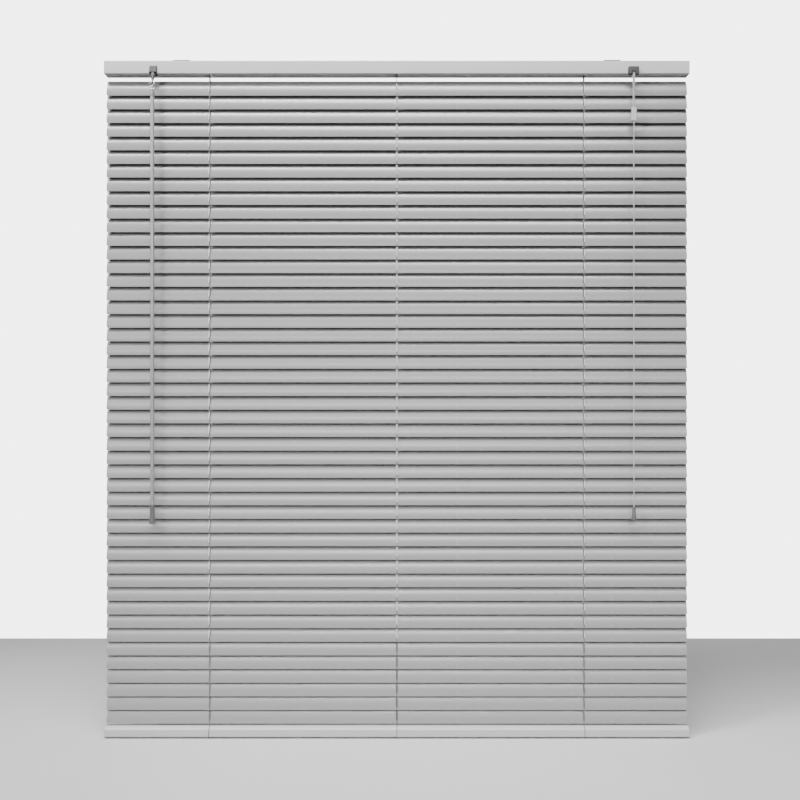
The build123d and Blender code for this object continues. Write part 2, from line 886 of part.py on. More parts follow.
with BuildPart() as rail_body:
    extrude(make_rail_outline(-rail_body_length / 2), amount=rail_body_length)
    with BuildSketch(Plane.YZ.offset(-rail_body_length / 2)):
        with BuildLine():
            inner_corner = rail_corner - rail_wall
            Polyline(
                (-cavity_crown_half, cavity_top),
                (-wall_inside, cavity_top),
                (-wall_inside, rail_bottom + rail_wall + inner_corner),
                (-wall_inside + inner_corner, rail_bottom + rail_wall),
                (wall_inside - inner_corner, rail_bottom + rail_wall),
                (wall_inside, rail_bottom + rail_wall + inner_corner),
                (wall_inside, cavity_top),
                (cavity_crown_half, cavity_top),
            )
            ThreePointArc(
                (cavity_crown_half, cavity_top),
                (0, crown_high - rail_wall),
                (-cavity_crown_half, cavity_top),
            )
        make_face()
    extrude(amount=rail_body_length, mode=Mode.SUBTRACT)
    with BuildSketch(Plane.XY.offset(rail_bottom - 1.0)):
        with Locations(*[(x, 0) for x in ladder_places]):
            Circle(plug_neck_radius + bore_clearance)
    extrude(amount=rail_height / 2, mode=Mode.SUBTRACT)
    with BuildSketch(Plane.XY.offset(rail_bottom + rail_height / 2)):
        with Locations(*[(x, 0) for x in ladder_places]):
            Circle(cord_bore_radius)
    extrude(amount=rail_height, mode=Mode.SUBTRACT)


def make_rail_cap(side):
    with BuildPart() as cap:
        outline = make_rail_outline(side * rail_length / 2)
        extrude(outline, amount=-side * (rail_cap_thickness - bore_clearance))
    return cap.part


with BuildPart() as cord_plugs:
    with BuildSketch(Plane.XY.offset(rail_bottom - plug_flange)):
        with Locations(*[(x, 0) for x in ladder_places]):
            Circle(plug_radius)
    extrude(amount=plug_flange - bore_clearance)
    with BuildSketch(Plane.XY.offset(rail_bottom - plug_flange)):
        with Locations(*[(x, 0) for x in ladder_places]):
            Circle(plug_neck_radius)
    extrude(amount=plug_flange + plug_depth)
    with BuildSketch(Plane.XY.offset(plug_floor_z)):
        with Locations(*[(x, 0) for x in ladder_places]):
            Circle(cord_bore_radius)
    extrude(amount=plug_depth, mode=Mode.SUBTRACT)

with BuildPart() as bottom_rail:
    add(rail_body.part)
    for side in (-1, 1):
        add(make_rail_cap(side))
    add(cord_plugs.part)
write(bottom_rail.part, "bottom_rail")
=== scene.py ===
import math
import random

import bmesh
import bpy
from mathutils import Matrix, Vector


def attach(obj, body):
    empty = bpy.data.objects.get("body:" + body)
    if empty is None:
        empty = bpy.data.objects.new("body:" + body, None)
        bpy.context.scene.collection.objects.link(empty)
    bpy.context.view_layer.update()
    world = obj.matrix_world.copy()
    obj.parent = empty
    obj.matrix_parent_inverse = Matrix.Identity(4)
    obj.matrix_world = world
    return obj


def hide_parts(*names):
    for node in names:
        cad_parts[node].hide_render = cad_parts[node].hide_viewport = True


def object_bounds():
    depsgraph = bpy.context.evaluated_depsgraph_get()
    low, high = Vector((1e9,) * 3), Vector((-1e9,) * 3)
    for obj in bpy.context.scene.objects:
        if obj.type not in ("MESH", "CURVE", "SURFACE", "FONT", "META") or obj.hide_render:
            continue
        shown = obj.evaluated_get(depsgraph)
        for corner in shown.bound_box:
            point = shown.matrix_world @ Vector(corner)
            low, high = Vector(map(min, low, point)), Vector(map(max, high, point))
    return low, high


# A venetian blind: closed white slats on cord ladders under a slim headrail, with a clear
# wand on the left and a lift cord with its condenser and tassel on the right.

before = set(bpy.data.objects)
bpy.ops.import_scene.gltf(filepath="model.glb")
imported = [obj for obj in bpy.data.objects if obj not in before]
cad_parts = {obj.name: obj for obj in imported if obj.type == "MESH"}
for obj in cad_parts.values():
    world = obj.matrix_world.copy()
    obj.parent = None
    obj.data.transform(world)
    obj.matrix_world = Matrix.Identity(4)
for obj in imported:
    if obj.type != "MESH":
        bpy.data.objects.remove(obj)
cad_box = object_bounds()

MM = 0.001
ROOT = "headrail_assembly"

# Slats
SLAT_COUNT = 47
SLAT_PITCH = 21.0
SLAT_LENGTH = 893.0
SLAT_HALF = 12.5
SLAT_CROWN = 2.0
SLAT_THICKNESS = 0.22
SLAT_CORNER = 2.0
CLOSED_TILT = math.radians(72.0)
TILT_SPREAD = 0.25  # degrees, from slat to slat
FIRST_SLAT_Z = -40.85
LAST_SLAT_Z = FIRST_SLAT_Z - (SLAT_COUNT - 1) * SLAT_PITCH
SLOT_HALF = 8.0
SLOT_HALF_WIDTH = 1.3

# Ladders and lift cords
LADDERS = {"left": -288.0, "middle": 0.0, "right": 288.0}
LADDER_HALF = 15.2
LADDER_CORD_RADIUS = 0.5
LADDER_LEAD_RADIUS = 0.47
RUNG_RADIUS = 0.3
LIFT_CORD_RADIUS = 0.6
LIFT_CORD_SPACING = 1.3
TWIN_SPREAD = 1.1
CORD_SWAY = 0.22
DRUM_Y = 1.5
DRUM_RADIUS = 6.9
DRUM_Z = -9.5

# Bottom rail
RAIL_CROWN_Z = -1020.6
RAIL_SIDE_Y = 13.0
RAIL_FOOT_Z = -1038.6
CORD_FOOT_Z = -1037.0

# Wand and pull cord
WAND_X = -373.0
WAND_Y = -18.99
WAND_EYE_Z = -46.4
FERRULE_TOP = -50.8
GRIP_TOP = -680.6
HOOK_TOP_Z = -36.36
HOOK_HALF = 3.0
HOOK_WIRE_RADIUS = 0.75
PULL_X = 362.0
PULL_Y = -17.5
CORD_EXIT_Z = -24.0
CONDENSER_TOP = -74.9
CONDENSER_HEIGHT = 19.8
CONDENSER_HALF_WIDTH = 4.6
CONDENSER_HALF_DEPTH = 3.1
CONDENSER_WAIST = 0.2
GROOVE_HALF_WIDTH = 1.25
GROOVE_DEPTH = 1.9
TASSEL_TOP = -684.8
TASSEL_HEIGHT = 19.1
PULL_CORD_END = -689.8
PULL_CORD_RADIUS = 0.8

# Where to look for the end caps and for the fittings, and the stage
CAP_X = 430.0
FITTING_REACH = 8.0
FLOOR_GAP = 1.0

random.seed(7)


# Materials


def new_material(name, base, roughness, metallic=0.0, transmission=0.0, ior=1.5):
    material = bpy.data.materials.new(name)
    material.use_nodes = True
    shader = material.node_tree.nodes["Principled BSDF"]
    shader.inputs["Base Color"].default_value = (*base, 1.0)
    shader.inputs["Roughness"].default_value = roughness
    shader.inputs["Metallic"].default_value = metallic
    shader.inputs["Transmission Weight"].default_value = transmission
    shader.inputs["IOR"].default_value = ior
    return material, shader


def add_noise(material, scale, detail=4.0, stretch=(1.0, 1.0, 1.0)):
    """A noise texture in the piece's own coordinates."""
    nodes, links = material.node_tree.nodes, material.node_tree.links
    place = nodes.new("ShaderNodeTexCoord")
    mapping = nodes.new("ShaderNodeMapping")
    mapping.inputs["Scale"].default_value = stretch
    noise = nodes.new("ShaderNodeTexNoise")
    noise.inputs["Scale"].default_value = scale
    noise.inputs["Detail"].default_value = detail
    links.new(place.outputs["Object"], mapping.inputs["Vector"])
    links.new(mapping.outputs["Vector"], noise.inputs["Vector"])
    return noise


def vary_colour(material, shader, noise, dark, light):
    nodes, links = material.node_tree.nodes, material.node_tree.links
    ramp = nodes.new("ShaderNodeValToRGB")
    ramp.color_ramp.elements[0].position = 0.3
    ramp.color_ramp.elements[1].position = 0.7
    ramp.color_ramp.elements[0].color = (*dark, 1.0)
    ramp.color_ramp.elements[1].color = (*light, 1.0)
    links.new(noise.outputs["Fac"], ramp.inputs["Fac"])
    links.new(ramp.outputs["Color"], shader.inputs["Base Color"])


def vary_roughness(material, shader, noise, low, high):
    nodes, links = material.node_tree.nodes, material.node_tree.links
    spread = nodes.new("ShaderNodeMapRange")
    spread.inputs["To Min"].default_value = low
    spread.inputs["To Max"].default_value = high
    links.new(noise.outputs["Fac"], spread.inputs["Value"])
    links.new(spread.outputs["Result"], shader.inputs["Roughness"])


def add_bump(material, shader, height, strength, distance):
    nodes, links = material.node_tree.nodes, material.node_tree.links
    bump = nodes.new("ShaderNodeBump")
    bump.inputs["Strength"].default_value = strength
    bump.inputs["Distance"].default_value = distance
    links.new(height, bump.inputs["Height"])
    links.new(bump.outputs["Normal"], shader.inputs["Normal"])


def make_enamel(name, tone, roughness):
    """Stoved white enamel at the tone given: very slight mottling, orange peel and changes
    in gloss. A tone below the headrail's is painted shade.
    """
    material, shader = new_material(name, (tone, tone, tone), roughness)
    mottle = add_noise(material, 9.0, 3.0, (0.35, 1.0, 1.0))
    vary_colour(material, shader, mottle, (tone * 0.975,) * 3, (tone, tone, tone * 0.995))
    gloss = add_noise(material, 60.0, 5.0)
    vary_roughness(material, shader, gloss, roughness - 0.05, roughness + 0.07)
    peel = add_noise(material, 900.0, 2.0)
    add_bump(material, shader, peel.outputs["Fac"], 0.12, 0.0001)
    return material


def make_moulded(name, tone, roughness):
    """Moulded plastic with a fine spark-eroded grain and slight shade changes."""
    material, shader = new_material(name, tone, roughness)
    cloud = add_noise(material, 220.0, 4.0)
    vary_colour(
        material,
        shader,
        cloud,
        tuple(c * 0.88 for c in tone),
        tuple(min(1.0, c * 1.1) for c in tone),
    )
    grain = add_noise(material, 4200.0, 3.0)
    add_bump(material, shader, grain.outputs["Fac"], 0.25, 0.00006)
    return material


def make_clear(name, tone, transmission):
    """Clear moulded plastic: slightly milky, with faint flow lines along its length."""
    material, shader = new_material(name, tone, 0.16, 0.0, transmission, 1.49)
    flow = add_noise(material, 120.0, 3.0, (1.0, 1.0, 0.05))
    vary_roughness(material, shader, flow, 0.1, 0.26)
    cloud = add_noise(material, 90.0, 3.0, (1.0, 1.0, 0.2))
    vary_colour(material, shader, cloud, tuple(c * 0.93 for c in tone), tone)
    add_bump(material, shader, flow.outputs["Fac"], 0.15, 0.0001)
    return material


def make_steel(name, tone, roughness, stretch):
    """Plated or drawn steel, with fine lines along its length."""
    material, shader = new_material(name, (tone, tone, tone * 1.01), roughness, 0.9)
    lines = add_noise(material, 700.0, 4.0, stretch)
    vary_roughness(material, shader, lines, roughness - 0.08, roughness + 0.12)
    patch = add_noise(material, 70.0, 4.0)
    vary_colour(material, shader, patch, (tone * 0.85,) * 3, (tone, tone, tone * 1.01))
    add_bump(material, shader, lines.outputs["Fac"], 0.1, 0.00005)
    return material


def make_braid(name, tone, pitch):
    """Braided polyester: crossing diagonal strands, with a soft sheen and painted shade
    where the strands dip.
    """
    material, shader = new_material(name, (tone, tone, tone * 0.99), 0.75)
    shader.inputs["Sheen Weight"].default_value = 0.25
    nodes, links = material.node_tree.nodes, material.node_tree.links
    place = nodes.new("ShaderNodeTexCoord")
    heights = []
    for lean in (1, -1):
        mapping = nodes.new("ShaderNodeMapping")
        mapping.inputs["Rotation"].default_value = (0.0, lean * math.radians(35), 0.0)
        wave = nodes.new("ShaderNodeTexWave")
        wave.bands_direction = "Z"
        wave.inputs["Scale"].default_value = 1.0 / (pitch * MM * 3.1)
        links.new(place.outputs["Object"], mapping.inputs["Vector"])
        links.new(mapping.outputs["Vector"], wave.inputs["Vector"])
        heights.append(wave.outputs["Fac"])
    both = nodes.new("ShaderNodeMath")
    both.operation = "MULTIPLY"
    links.new(heights[0], both.inputs[0])
    links.new(heights[1], both.inputs[1])
    # The base colour is darker where the strands dip: painted shade in the braid's grooves.
    ramp = nodes.new("ShaderNodeValToRGB")
    ramp.color_ramp.elements[0].color = (tone * 0.8, tone * 0.8, tone * 0.79, 1.0)
    ramp.color_ramp.elements[1].color = (tone, tone, tone * 0.99, 1.0)
    links.new(both.outputs["Value"], ramp.inputs["Fac"])
    links.new(ramp.outputs["Color"], shader.inputs["Base Color"])
    add_bump(material, shader, both.outputs["Value"], 0.6, 0.0002)
    return material


# One white enamel in three tones: the slats (0.27) and the bottom rail (0.44) are set
# darker than the headrail (0.56) as painted shade, for how the light falls on them.
slat_enamel_painted_shade = make_enamel("slat_enamel_painted_shade", 0.27, 0.24)
rail_enamel = make_enamel("rail_enamel", 0.56, 0.36)
bottom_rail_enamel_painted_shade = make_enamel("bottom_rail_enamel_painted_shade", 0.44, 0.42)
grey_plastic = make_moulded("grey_plastic", (0.06, 0.06, 0.062), 0.7)
pale_plastic = make_moulded("pale_plastic", (0.7, 0.7, 0.7), 0.45)
dark_plastic = make_moulded("dark_plastic", (0.07, 0.07, 0.073), 0.4)
clear_plastic = make_clear("clear_plastic", (0.42, 0.42, 0.43), 0.3)
smoky_plastic = make_clear("smoky_plastic", (0.16, 0.16, 0.165), 0.2)
tassel_plastic = make_moulded("tassel_plastic", (0.11, 0.11, 0.113), 0.4)
milky_plastic = make_clear("milky_plastic", (0.72, 0.72, 0.73), 0.3)
drawn_steel = make_steel("drawn_steel", 0.55, 0.32, (0.04, 1.0, 1.0))
plated_steel = make_steel("plated_steel", 0.62, 0.35, (1.0, 0.2, 1.0))
bright_wire = make_steel("bright_wire", 0.78, 0.2, (1.0, 1.0, 0.3))
# The ladder cords' tone is set darker than the slats' so each cord shows with its own
# shadow on the slats: the cord's colour and painted shade together.
ladder_braid_painted_shade = make_braid("ladder_braid_painted_shade", 0.16, 0.9)
lift_braid = make_braid("lift_braid", 0.46, 1.1)


# Building


def place_piece(piece, body, node, material):
    piece.data.materials.clear()
    piece.data.materials.append(material)
    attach(piece, body)
    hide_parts(node)
    return piece


def smooth(mesh, degrees=35.0):
    mesh.shade_smooth()
    mesh.set_sharp_from_angle(angle=math.radians(degrees))


def mesh_object(name, verts, faces, degrees=35.0):
    mesh = bpy.data.meshes.new(name)
    mesh.from_pydata([Vector(v) * MM for v in verts], [], faces)
    mesh.validate()
    smooth(mesh, degrees)
    piece = bpy.data.objects.new(name, mesh)
    bpy.context.collection.objects.link(piece)
    return piece


def bevelled(piece, width, segments=2, degrees=35.0):
    """Rounds the piece's sharp edges, with the result kept as its mesh."""
    modifier = piece.modifiers.new("edges", "BEVEL")
    modifier.width = width * MM
    modifier.segments = segments
    modifier.limit_method = "ANGLE"
    modifier.angle_limit = math.radians(degrees)
    modifier.use_clamp_overlap = True
    shape = piece.evaluated_get(bpy.context.evaluated_depsgraph_get())
    mesh = bpy.data.meshes.new_from_object(shape)
    piece.modifiers.clear()
    piece.data = mesh
    smooth(mesh)
    return piece


def lathe(name, profile, centre, sides=48, ribs=0, rib_depth=0.0, ribbed=(0, 0)):
    """Turns a (radius, z) profile about a vertical axis; ribbed rings are fluted."""
    verts, faces = [], []
    for ring, (radius, z) in enumerate(profile):
        for side in range(sides):
            angle = 2 * math.pi * side / sides
            flute = 0.0
            if ribbed[0] <= ring <= ribbed[1]:
                flute = rib_depth * (math.cos(ribs * angle) - 1) / 2
            reach = max(radius + flute, 0.0)
            verts.append(
                (
                    centre[0] + reach * math.cos(angle),
                    centre[1] + reach * math.sin(angle),
                    z,
                )
            )
    for ring in range(len(profile) - 1):
        for side in range(sides):
            after = (side + 1) % sides
            low, high = ring * sides, (ring + 1) * sides
            faces.append((low + side, high + side, high + after, low + after))
    faces.append(tuple(range(sides)))
    last = (len(profile) - 1) * sides
    faces.append(tuple(range(last + sides - 1, last - 1, -1)))
    return mesh_object(name, verts, faces)


def cord_curve(name, strands, radius, sides=3):
    """A round cord, or several in one piece, on smooth open splines."""
    curve = bpy.data.curves.new(name, "CURVE")
    curve.dimensions = "3D"
    curve.bevel_depth = radius * MM
    curve.bevel_resolution = sides
    curve.resolution_u = 4
    curve.use_fill_caps = True
    for points in strands:
        spline = curve.splines.new("NURBS")
        spline.points.add(len(points) - 1)
        for point, place in zip(spline.points, points):
            point.co = (*(Vector(place) * MM), 1.0)
        spline.order_u = 3
        spline.use_endpoint_u = True
    piece = bpy.data.objects.new(name, curve)
    bpy.context.collection.objects.link(piece)
    return piece


def node_pieces(node):
    """Copies of a CAD node's separate solids, with their flat faces merged."""
    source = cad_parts[node]
    whole = bmesh.new()
    whole.from_mesh(source.data)
    whole.transform(source.matrix_world)
    bmesh.ops.remove_doubles(whole, verts=whole.verts, dist=1e-7)
    bmesh.ops.dissolve_limit(
        whole, angle_limit=math.radians(0.5), verts=whole.verts, edges=whole.edges
    )
    whole.faces.ensure_lookup_table()
    found, seen = [], set()
    for start in whole.faces:
        if start.index in seen:
            continue
        group, queue = [], [start]
        seen.add(start.index)
        while queue:
            face = queue.pop()
            group.append(face)
            for edge in face.edges:
                for other in edge.link_faces:
                    if other.index not in seen:
                        seen.add(other.index)
                        queue.append(other)
        index = {v: i for i, v in enumerate({v for f in group for v in f.verts})}
        verts = [tuple(v.co) for v in index]
        faces = [tuple(index[v] for v in f.verts) for f in group]
        low = [min(v[k] for v in verts) for k in range(3)]
        high = [max(v[k] for v in verts) for k in range(3)]
        found.append((tuple((a + b) / 2 for a, b in zip(low, high)), verts, faces))
    whole.free()
    return sorted(found, key=lambda solid: solid[0])


def node_piece(name, solid, edge_width):
    _, verts, faces = solid
    piece = mesh_object(name, [Vector(v) / MM for v in verts], faces)
    if edge_width:
        bevelled(piece, edge_width)
    return piece


# Slats: one thin curved blade with three cord slots, used for all of them


def slot_half_width(t):
    straight = SLOT_HALF - SLOT_HALF_WIDTH
    past = max(abs(t) - straight, 0.0)
    return math.sqrt(max(SLOT_HALF_WIDTH**2 - past**2, 0.04))


def slat_end(t):
    past = max(abs(t) - (SLAT_HALF - SLAT_CORNER), 0.0)
    return SLAT_LENGTH / 2 - SLAT_CORNER + math.sqrt(max(SLAT_CORNER**2 - past**2, 0.0))


def tilted(x, t, h):
    """A point on a closed slat: t along its width, upwards, and h off its chord."""
    sin_tilt, cos_tilt = math.sin(CLOSED_TILT), math.cos(CLOSED_TILT)
    return (x, t * cos_tilt - h * sin_tilt, t * sin_tilt + h * cos_tilt)


def make_slat_mesh():
    radius = (SLAT_HALF**2 + SLAT_CROWN**2) / (2 * SLAT_CROWN)
    half_rows = [0.0, 1.7, 3.4, 5.1, 6.7, 7.3, 7.8, 8.0, 9.2, 10.5, 11.4, 12.0, 12.35, 12.5]
    rows = [-t for t in reversed(half_rows[1:])] + half_rows
    lower, columns = [], 2 + 2 * len(LADDERS)
    for t in rows:
        width = slot_half_width(t)
        xs = [-slat_end(t)]
        for place in LADDERS.values():
            xs += [place - width, place + width]
        xs.append(slat_end(t))
        lift = math.sqrt(radius**2 - t * t) - (radius - SLAT_CROWN)
        lower += [(x, t, lift) for x in xs]
    skin = []
    for row in range(len(rows) - 1):
        in_slot = abs(rows[row] + rows[row + 1]) / 2 < SLOT_HALF
        for column in range(columns - 1):
            if in_slot and column % 2 == 1:
                continue
            first = row * columns + column
            skin.append((first, first + 1, first + columns + 1, first + columns))
    used = {}
    for face in skin:
        for a, b in zip(face, face[1:] + face[:1]):
            used[(a, b)] = True
    count = len(lower)
    faces = [tuple(v + count for v in face) for face in skin]
    faces += [tuple(reversed(face)) for face in skin]
    for a, b in used:
        if (b, a) not in used:
            faces.append((a, b, b + count, a + count))
    verts = [tilted(*v) for v in lower]
    verts += [tilted(x, t, h + SLAT_THICKNESS) for x, t, h in lower]
    return mesh_object("slat_blade", verts, faces, 50.0).data


slat_mesh = make_slat_mesh()
bpy.data.objects.remove(bpy.data.objects["slat_blade"])

sin_tilt, cos_tilt = math.sin(CLOSED_TILT), math.cos(CLOSED_TILT)
cord_y = LADDER_HALF * cos_tilt
rung_rise = LADDER_HALF * sin_tilt

for index in range(SLAT_COUNT):
    number = f"{index + 1:02d}"
    axis_z = FIRST_SLAT_Z - index * SLAT_PITCH
    blade = bpy.data.objects.new(f"slat_blade_{number}", slat_mesh)
    bpy.context.collection.objects.link(blade)
    blade.location = (0, 0, axis_z * MM)
    blade.rotation_euler = (math.radians(random.uniform(-TILT_SPREAD, TILT_SPREAD)), 0, 0)
    # The slats take the darkest tone of the one enamel: painted shade.
    place_piece(blade, f"slat_{number}", f"slat_{number}", slat_enamel_painted_shade)

    # Twin rungs under the slat, from the front ladder cord to the back one
    strands = []
    for place in LADDERS.values():
        for side in (-1, 1):
            spread = side * TWIN_SPREAD
            strand = []
            for t, offset in (
                (-LADDER_HALF, 0.0),
                (-13.6, spread * 0.4),
                (-12.2, spread),
                (0.0, spread),
                (12.2, spread),
                (13.6, spread * 0.4),
                (LADDER_HALF, 0.0),
            ):
                x, y, z = tilted(place + offset, t, -0.4)
                strand.append((x, y, z + axis_z))
            strands.append(strand)
    rungs = cord_curve(f"ladder_rungs_{number}", strands, RUNG_RADIUS, 2)
    rungs.data.materials.append(ladder_braid_painted_shade)
    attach(rungs, f"slat_{number}")

# Ladder cords


def waved(x, y, top, bottom, sway):
    """A straight drop with a slight weave to the sides from rung to rung."""
    steps = max(2, round((top - bottom) / (SLAT_PITCH / 4)))
    points = []
    for step in range(steps + 1):
        z = top + (bottom - top) * step / steps
        drift = sway * math.sin((z - FIRST_SLAT_Z) * 2 * math.pi / SLAT_PITCH)
        points.append((x + drift * (0.6 + 0.4 * math.sin(z / 47.0)), y, z))
    return points


for side, name in ((-1, "front"), (1, "back")):
    y = side * cord_y
    top = FIRST_SLAT_Z + side * rung_rise
    bottom = LAST_SLAT_Z + side * rung_rise
    for where, place in LADDERS.items():
        cord = cord_curve(
            f"ladder_cord_{name}_{where}",
            [waved(place, y, top, bottom, CORD_SWAY)],
            LADDER_CORD_RADIUS,
        )
        place_piece(
            cord, f"ladder_{name}", f"ladder_{name}_cords", ladder_braid_painted_shade
        )
        # The stretches up to the drum and down round the bottom rail stay where they are
        lead = cord_curve(
            f"ladder_lead_{name}_{where}",
            [
                [
                    (place - 4.6, DRUM_Y + side * DRUM_RADIUS, DRUM_Z),
                    (place - 4.4, DRUM_Y + side * DRUM_RADIUS, DRUM_Z - 4.5),
                    (place - 0.6, y, -19.5),
                    (place, y, -23.0),
                    (place, y, -30.0),
                    (place, y, FIRST_SLAT_Z - rung_rise - 0.6),
                ]
            ],
            LADDER_LEAD_RADIUS,
        )
        lead.data.materials.append(ladder_braid_painted_shade)
        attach(lead, ROOT)
        tail = cord_curve(
            f"ladder_tail_{name}_{where}",
            [
                [
                    (place, y, LAST_SLAT_Z + rung_rise + 0.6),
                    (place, y, RAIL_CROWN_Z + 4.0),
                    (place, y, RAIL_CROWN_Z - 0.8),
                    (place, side * 7.0, RAIL_CROWN_Z - 2.1),
                    (place, side * 12.0, RAIL_CROWN_Z - 5.4),
                    (place, side * RAIL_SIDE_Y, RAIL_CROWN_Z - 6.6),
                    (place, side * RAIL_SIDE_Y, RAIL_FOOT_Z + 8.6),
                    (place, side * RAIL_SIDE_Y, RAIL_FOOT_Z + 1.4),
                    (place, side * (RAIL_SIDE_Y - 0.4), RAIL_FOOT_Z),
                    (place, side * 10.0, RAIL_FOOT_Z),
                    (place, side * 5.0, RAIL_FOOT_Z),
                ]
            ],
            LADDER_LEAD_RADIUS,
        )
        tail.data.materials.append(ladder_braid_painted_shade)
        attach(tail, ROOT)

# Lift cords, through the slots, along the headrail and out of the cord lock
cord_run_y = 10.8
run_heights = (-15.2, -16.6, -18.0)
bend = 4.5
for strand, (where, place) in enumerate(LADDERS.items()):
    run_z = run_heights[strand]
    exit_x = PULL_X + (strand - 1) * LIFT_CORD_SPACING
    cord = cord_curve(
        f"lift_cord_{where}",
        [
            [
                (place, 0, CORD_FOOT_Z),
                (place, 0, -500.0),
                (place, 0, run_z - bend),
                (place, 0, run_z),
                (place, cord_run_y, run_z),
                (place + bend, cord_run_y, run_z),
                (exit_x - bend, cord_run_y, run_z),
                (exit_x, cord_run_y, run_z),
                (exit_x, cord_run_y - bend, run_z),
                (exit_x, PULL_Y + bend, run_z),
                (exit_x, PULL_Y, run_z),
                (exit_x, PULL_Y, run_z - 4.0),
                (exit_x, PULL_Y, CORD_EXIT_Z),
            ]
        ],
        LIFT_CORD_RADIUS,
    )
    place_piece(cord, ROOT, "lift_cords", lift_braid)

# Condenser: a waisted, translucent clip with a groove down its front and back


def make_condenser():
    verts, faces = [], []
    sides = 48
    levels = 12
    for level in range(levels + 1):
        share = level / levels
        waist = 1 - CONDENSER_WAIST * math.sin(math.pi * share)
        shrink = 0.94 if level in (0, levels) else 1.0
        for side in range(sides):
            angle = 2 * math.pi * side / sides
            cosine, sine = math.cos(angle), math.sin(angle)
            reach = (abs(cosine) ** 4 + abs(sine) ** 4) ** -0.25
            x = CONDENSER_HALF_WIDTH * waist * shrink * reach * cosine
            y = CONDENSER_HALF_DEPTH * shrink * reach * sine
            groove = max(0.0, 1 - (abs(x) / GROOVE_HALF_WIDTH) ** 4)
            y -= math.copysign(GROOVE_DEPTH * groove, y)
            z = CONDENSER_TOP - share * CONDENSER_HEIGHT
            verts.append((PULL_X + x, PULL_Y + y, z))
    for level in range(levels):
        for side in range(sides):
            after = (side + 1) % sides
            low, high = level * sides, (level + 1) * sides
            faces.append((low + side, low + after, high + after, high + side))
    faces.append(tuple(range(sides - 1, -1, -1)))
    faces.append(tuple(range(levels * sides, (levels + 1) * sides)))
    return mesh_object("cord_condenser", verts, faces, 45.0)


condenser = place_piece(
    make_condenser(), ROOT, "pull_cord_fittings", milky_plastic
)

# Tassel: a hollow bell on the cord's end
tassel_profile = [
    (0.9, TASSEL_TOP),
    (1.9, TASSEL_TOP),
    (2.4, TASSEL_TOP - 0.5),
    (2.55, TASSEL_TOP - 4.0),
    (2.75, TASSEL_TOP - 9.0),
    (3.2, TASSEL_TOP - 14.0),
    (3.85, TASSEL_TOP - TASSEL_HEIGHT + 0.4),
    (3.7, TASSEL_TOP - TASSEL_HEIGHT),
    (3.0, TASSEL_TOP - TASSEL_HEIGHT),
    (2.4, TASSEL_TOP - 14.0),
    (1.7, TASSEL_TOP - 9.6),
    (0.9, TASSEL_TOP - 9.5),
]
tassel = place_piece(
    lathe("cord_tassel", tassel_profile, (PULL_X, PULL_Y)),
    ROOT,
    "pull_cord_fittings",
    tassel_plastic,
)

# Pull cord: one line down to the tassel, with a strand on each side to the condenser
pull_cord = cord_curve(
    "pull_cord_line",
    [
        [
            (PULL_X, PULL_Y, CORD_EXIT_Z),
            (PULL_X, PULL_Y, -40.0),
            (PULL_X, PULL_Y, -140.0),
            (PULL_X, PULL_Y, -320.0),
            (PULL_X, PULL_Y, -520.0),
            (PULL_X, PULL_Y, -660.0),
            (PULL_X, PULL_Y, PULL_CORD_END),
        ]
    ],
    PULL_CORD_RADIUS,
)
place_piece(pull_cord, ROOT, "pull_cord", lift_braid)
for side in (-1, 1):
    x = PULL_X + side * LIFT_CORD_SPACING
    strand = cord_curve(
        "pull_cord_strand_left" if side < 0 else "pull_cord_strand_right",
        [
            [
                (x, PULL_Y, CORD_EXIT_Z),
                (x, PULL_Y, -29.0),
                (PULL_X + side * 1.1, PULL_Y + 0.8, -40.0),
                (PULL_X + side * 0.95, PULL_Y + 1.0, -56.0),
                (PULL_X + side * 0.95, PULL_Y + 1.0, CONDENSER_TOP - 3.0),
            ]
        ],
        LIFT_CORD_RADIUS,
    )
    place_piece(strand, ROOT, "pull_cord", lift_braid)

# Wand: hexagonal rod, eye, ferrule and fluted grip


def solid_height(solid):
    zs = [v[2] for v in solid[1]]
    return max(zs) - min(zs)


rod_solid = max(node_pieces("wand"), key=solid_height)
place_piece(
    node_piece("wand_rod", rod_solid, 0.35), "wand", "wand", clear_plastic
)
ferrule = lathe(
    "wand_ferrule",
    [
        (2.0, FERRULE_TOP),
        (3.1, FERRULE_TOP),
        (3.4, FERRULE_TOP - 0.3),
        (3.4, FERRULE_TOP - 5.8),
        (3.05, FERRULE_TOP - 7.0),
        (2.0, FERRULE_TOP - 7.0),
    ],
    (WAND_X, WAND_Y),
)
place_piece(ferrule, "wand", "wand", clear_plastic)
grip_profile = [
    (2.0, GRIP_TOP),
    (3.1, GRIP_TOP),
    (3.8, GRIP_TOP - 0.7),
    (3.85, GRIP_TOP - 1.9),
    (3.85, GRIP_TOP - 9.4),
    (3.85, GRIP_TOP - 17.9),
    (4.05, GRIP_TOP - 19.9),
    (4.45, GRIP_TOP - 21.9),
    (4.5, GRIP_TOP - 24.4),
    (4.5, GRIP_TOP - 28.8),
    (4.1, GRIP_TOP - 29.7),
    (3.2, GRIP_TOP - 29.9),
]
grip = lathe("wand_grip", grip_profile, (WAND_X, WAND_Y), 96, 12, 0.7, (3, 9))
place_piece(grip, "wand", "wand", smoky_plastic)

